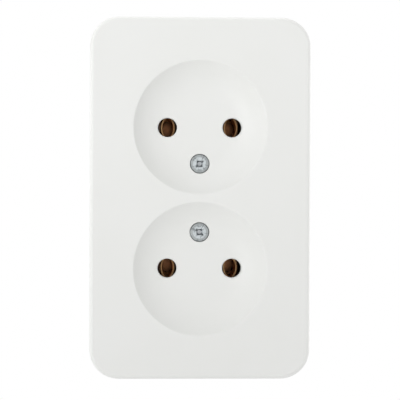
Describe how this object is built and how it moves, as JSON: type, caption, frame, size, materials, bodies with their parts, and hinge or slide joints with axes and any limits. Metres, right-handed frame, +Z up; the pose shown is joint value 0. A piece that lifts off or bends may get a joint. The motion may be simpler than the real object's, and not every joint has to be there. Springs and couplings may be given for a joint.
{
  "type": "surface-mounted double socket",
  "caption": "Surface-mounted double wall socket for round pins: a deep rounded cover with dished recesses over a moulded base with sprung brass contacts and screw terminals.",
  "frame": {"origin": "centre of the back, in the plane of the wall, midway between the two fixing slots", "axes": "+X right as seen from the front, +Z up, +Y into the wall; the front faces -Y"},
  "size_m": [0.0656, 0.033, 0.1066],
  "materials": {
    "cover": "satin moulded thermoplastic, warm white",
    "base": "moulded phenolic, dark brown",
    "contact_brass": "bare brass sheet, slightly tarnished",
    "turned_brass": "turned and pressed brass",
    "zinc_steel": "zinc-plated steel, bluish",
    "spring_steel": "blued spring steel",
    "retainer": "natural polyethylene"
  },
  "bodies": {
    "housing": {"cover": "cover", "base": "base", "threaded_insert_upper": "turned_brass", "pin_contact_upper_left": "contact_brass", "contact_spring_upper_left": "spring_steel", "pin_contact_upper_right": "contact_brass", "contact_spring_upper_right": "spring_steel", "threaded_insert_lower": "turned_brass", "pin_contact_lower_left": "contact_brass", "contact_spring_lower_left": "spring_steel", "pin_contact_lower_right": "contact_brass", "contact_spring_lower_right": "spring_steel", "busbar_left": "contact_brass", "busbar_right": "contact_brass", "contact_rivets": "turned_brass"},
    "cover_screw_upper": {"cover_screw_upper": "zinc_steel"},
    "screw_retainer_upper": {"screw_retainer_upper": "retainer"},
    "terminal_screw_upper_left": {"terminal_screw_upper_left": "zinc_steel"},
    "clamp_plate_upper_left": {"clamp_plate_upper_left": "zinc_steel"},
    "terminal_screw_upper_right": {"terminal_screw_upper_right": "zinc_steel"},
    "clamp_plate_upper_right": {"clamp_plate_upper_right": "zinc_steel"},
    "cover_screw_lower": {"cover_screw_lower": "zinc_steel"},
    "screw_retainer_lower": {"screw_retainer_lower": "retainer"},
    "terminal_screw_lower_left": {"terminal_screw_lower_left": "zinc_steel"},
    "clamp_plate_lower_left": {"clamp_plate_lower_left": "zinc_steel"},
    "terminal_screw_lower_right": {"terminal_screw_lower_right": "zinc_steel"},
    "clamp_plate_lower_right": {"clamp_plate_lower_right": "zinc_steel"}
  },
  "joints": [
    {"name": "cover_screw_upper_advance", "type": "slide", "parent": "housing", "child": "screw_retainer_upper", "axis": [0, -1, 0], "range_m": [0, 0.006]},
    {"name": "cover_screw_upper_turn", "type": "hinge", "parent": "screw_retainer_upper", "child": "cover_screw_upper", "pos_m": [0, -0.0254, 0.01005], "axis": [0, -1, 0], "range_deg": [0, 4320]},
    {"name": "terminal_screw_upper_left_advance", "type": "slide", "parent": "housing", "child": "clamp_plate_upper_left", "axis": [0, -1, 0], "range_m": [0, 0.0018]},
    {"name": "terminal_screw_upper_left_turn", "type": "hinge", "parent": "clamp_plate_upper_left", "child": "terminal_screw_upper_left", "pos_m": [-0.0158, -0.008, 0.0065], "axis": [0, -1, 0], "range_deg": [0, 1080]},
    {"name": "terminal_screw_upper_right_advance", "type": "slide", "parent": "housing", "child": "clamp_plate_upper_right", "axis": [0, -1, 0], "range_m": [0, 0.0018]},
    {"name": "terminal_screw_upper_right_turn", "type": "hinge", "parent": "clamp_plate_upper_right", "child": "terminal_screw_upper_right", "pos_m": [0.0158, -0.008, 0.0065], "axis": [0, -1, 0], "range_deg": [0, 1080]},
    {"name": "cover_screw_lower_advance", "type": "slide", "parent": "housing", "child": "screw_retainer_lower", "axis": [0, -1, 0], "range_m": [0, 0.006]},
    {"name": "cover_screw_lower_turn", "type": "hinge", "parent": "screw_retainer_lower", "child": "cover_screw_lower", "pos_m": [0, -0.0254, -0.01005], "axis": [0, -1, 0], "range_deg": [0, 4320]},
    {"name": "terminal_screw_lower_left_advance", "type": "slide", "parent": "housing", "child": "clamp_plate_lower_left", "axis": [0, -1, 0], "range_m": [0, 0.0018]},
    {"name": "terminal_screw_lower_left_turn", "type": "hinge", "parent": "clamp_plate_lower_left", "child": "terminal_screw_lower_left", "pos_m": [-0.0158, -0.008, -0.0065], "axis": [0, -1, 0], "range_deg": [0, 1080]},
    {"name": "terminal_screw_lower_right_advance", "type": "slide", "parent": "housing", "child": "clamp_plate_lower_right", "axis": [0, -1, 0], "range_m": [0, 0.0018]},
    {"name": "terminal_screw_lower_right_turn", "type": "hinge", "parent": "clamp_plate_lower_right", "child": "terminal_screw_lower_right", "pos_m": [0.0158, -0.008, -0.0065], "axis": [0, -1, 0], "range_deg": [0, 1080]}
  ],
  "couplings": [
    {"joint": "cover_screw_upper_turn", "follows": "cover_screw_upper_advance", "rad_per_m": 12566},
    {"joint": "terminal_screw_upper_left_turn", "follows": "terminal_screw_upper_left_advance", "rad_per_m": 10472},
    {"joint": "terminal_screw_upper_right_turn", "follows": "terminal_screw_upper_right_advance", "rad_per_m": 10472},
    {"joint": "cover_screw_lower_turn", "follows": "cover_screw_lower_advance", "rad_per_m": 12566},
    {"joint": "terminal_screw_lower_left_turn", "follows": "terminal_screw_lower_left_advance", "rad_per_m": 10472},
    {"joint": "terminal_screw_lower_right_turn", "follows": "terminal_screw_lower_right_advance", "rad_per_m": 10472}
  ]
}
